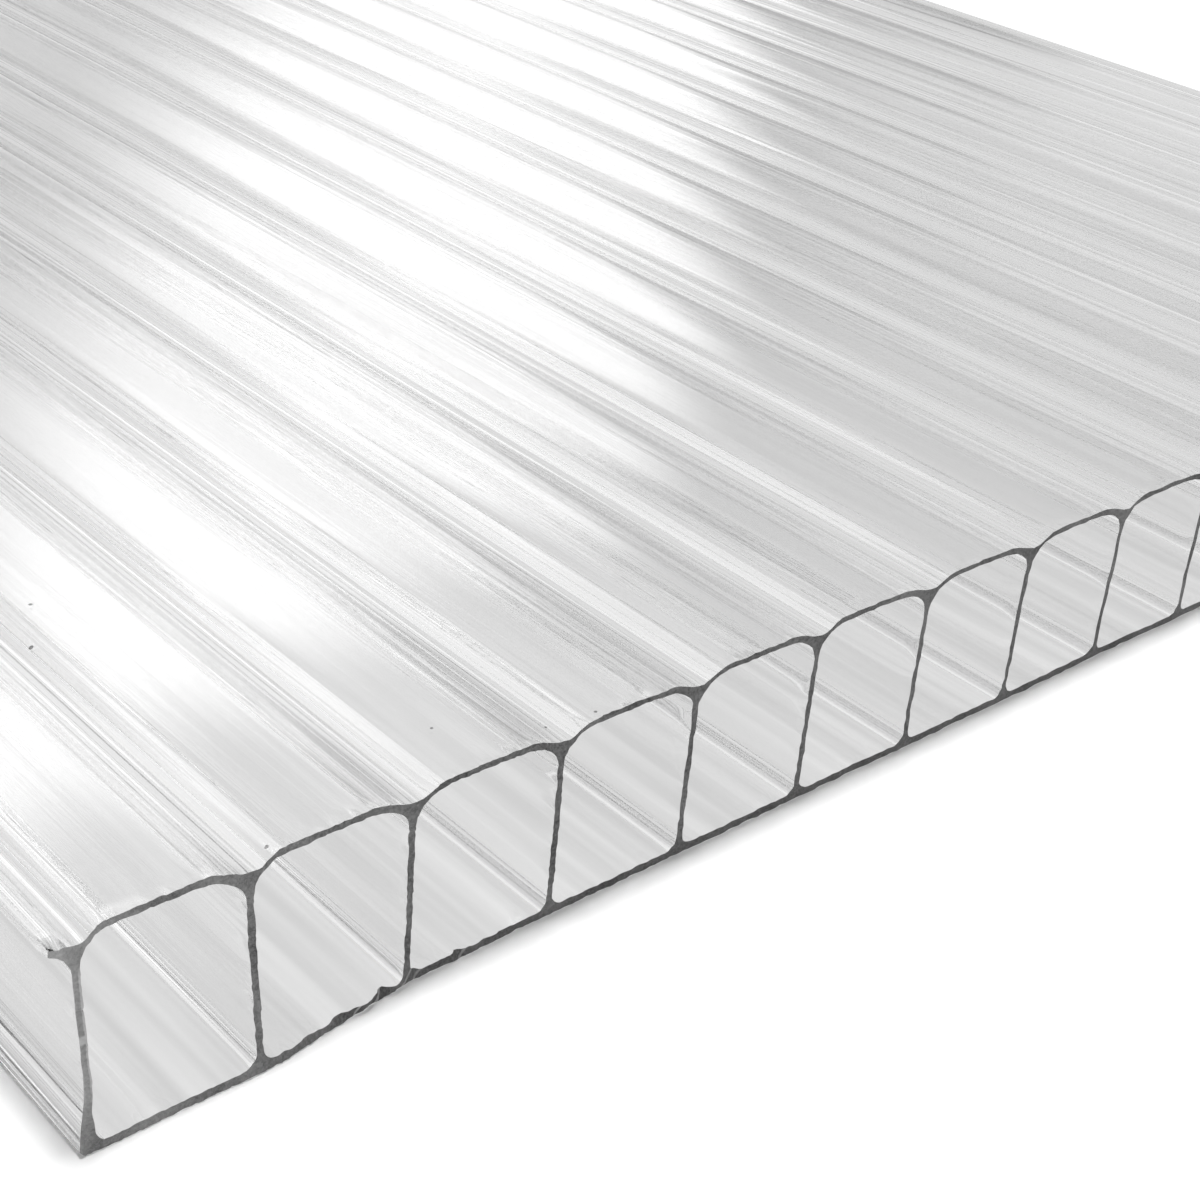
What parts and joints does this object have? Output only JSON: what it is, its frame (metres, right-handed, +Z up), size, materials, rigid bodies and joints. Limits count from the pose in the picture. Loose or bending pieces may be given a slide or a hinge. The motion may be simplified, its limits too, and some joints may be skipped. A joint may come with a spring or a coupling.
{
  "type": "multiwall polycarbonate sheet",
  "caption": "Clear twinwall polycarbonate glazing sheet, a narrow cut strip with open flutes along its length.",
  "frame": {"origin": "middle of the sheet's underside, on the level it lies on", "axes": "+Z up through the sheet's thickness, +Y along the flutes, away from the ragged cut end in the picture, +X across the flutes"},
  "size_m": [0.1378, 1, 0.01],
  "materials": {
    "clear_polycarbonate": "gloss"
  },
  "bodies": {
    "root": {"twinwall_sheet": "clear_polycarbonate"}
  },
  "joints": []
}
